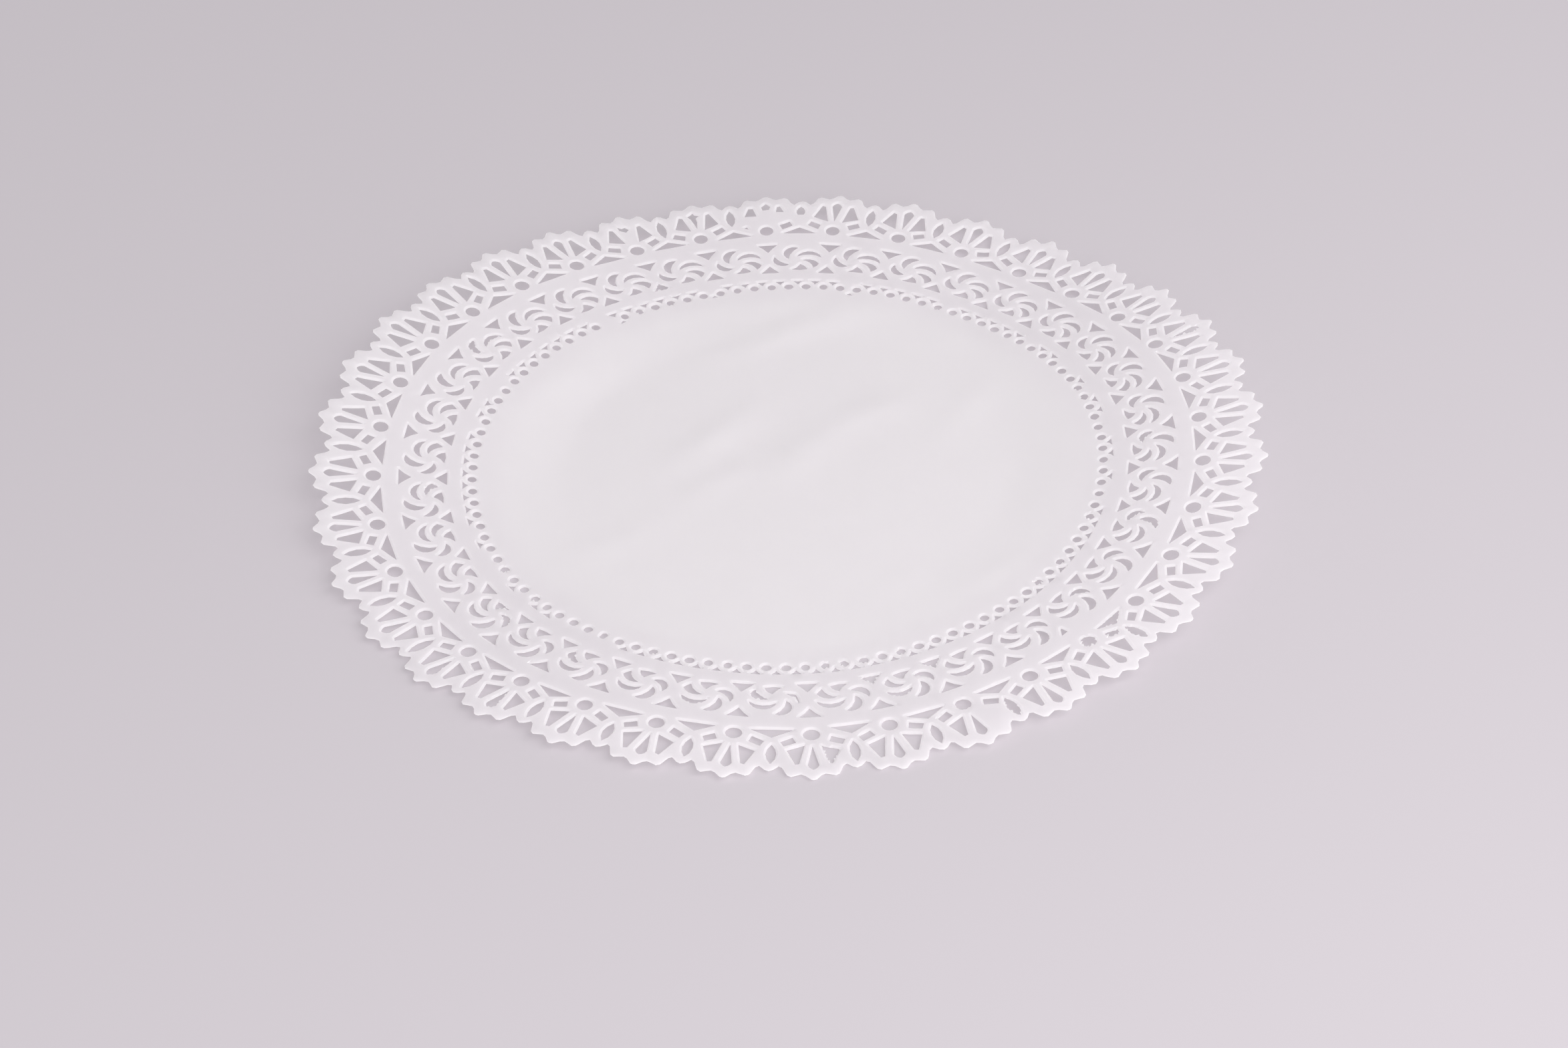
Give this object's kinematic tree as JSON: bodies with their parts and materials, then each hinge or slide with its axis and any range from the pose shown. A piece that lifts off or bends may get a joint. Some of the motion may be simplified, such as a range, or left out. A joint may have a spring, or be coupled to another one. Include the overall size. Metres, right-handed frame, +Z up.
{
  "type": "paper doily",
  "caption": "Round white punched paper doily with a toothed openwork rim and a plain centre, its rim lifting in soft waves.",
  "frame": {"origin": "middle of the flat centre's underside, on the table, which is the bottom centre of the doily's box", "axes": "+Z up, square to the flat centre; a fan of the rim points along +X and another along +Y"},
  "size_m": [0.3, 0.3, 0.0162],
  "materials": {
    "paper": "matt white embossed paper"
  },
  "bodies": {
    "root": {"doily": "paper"}
  },
  "joints": []
}
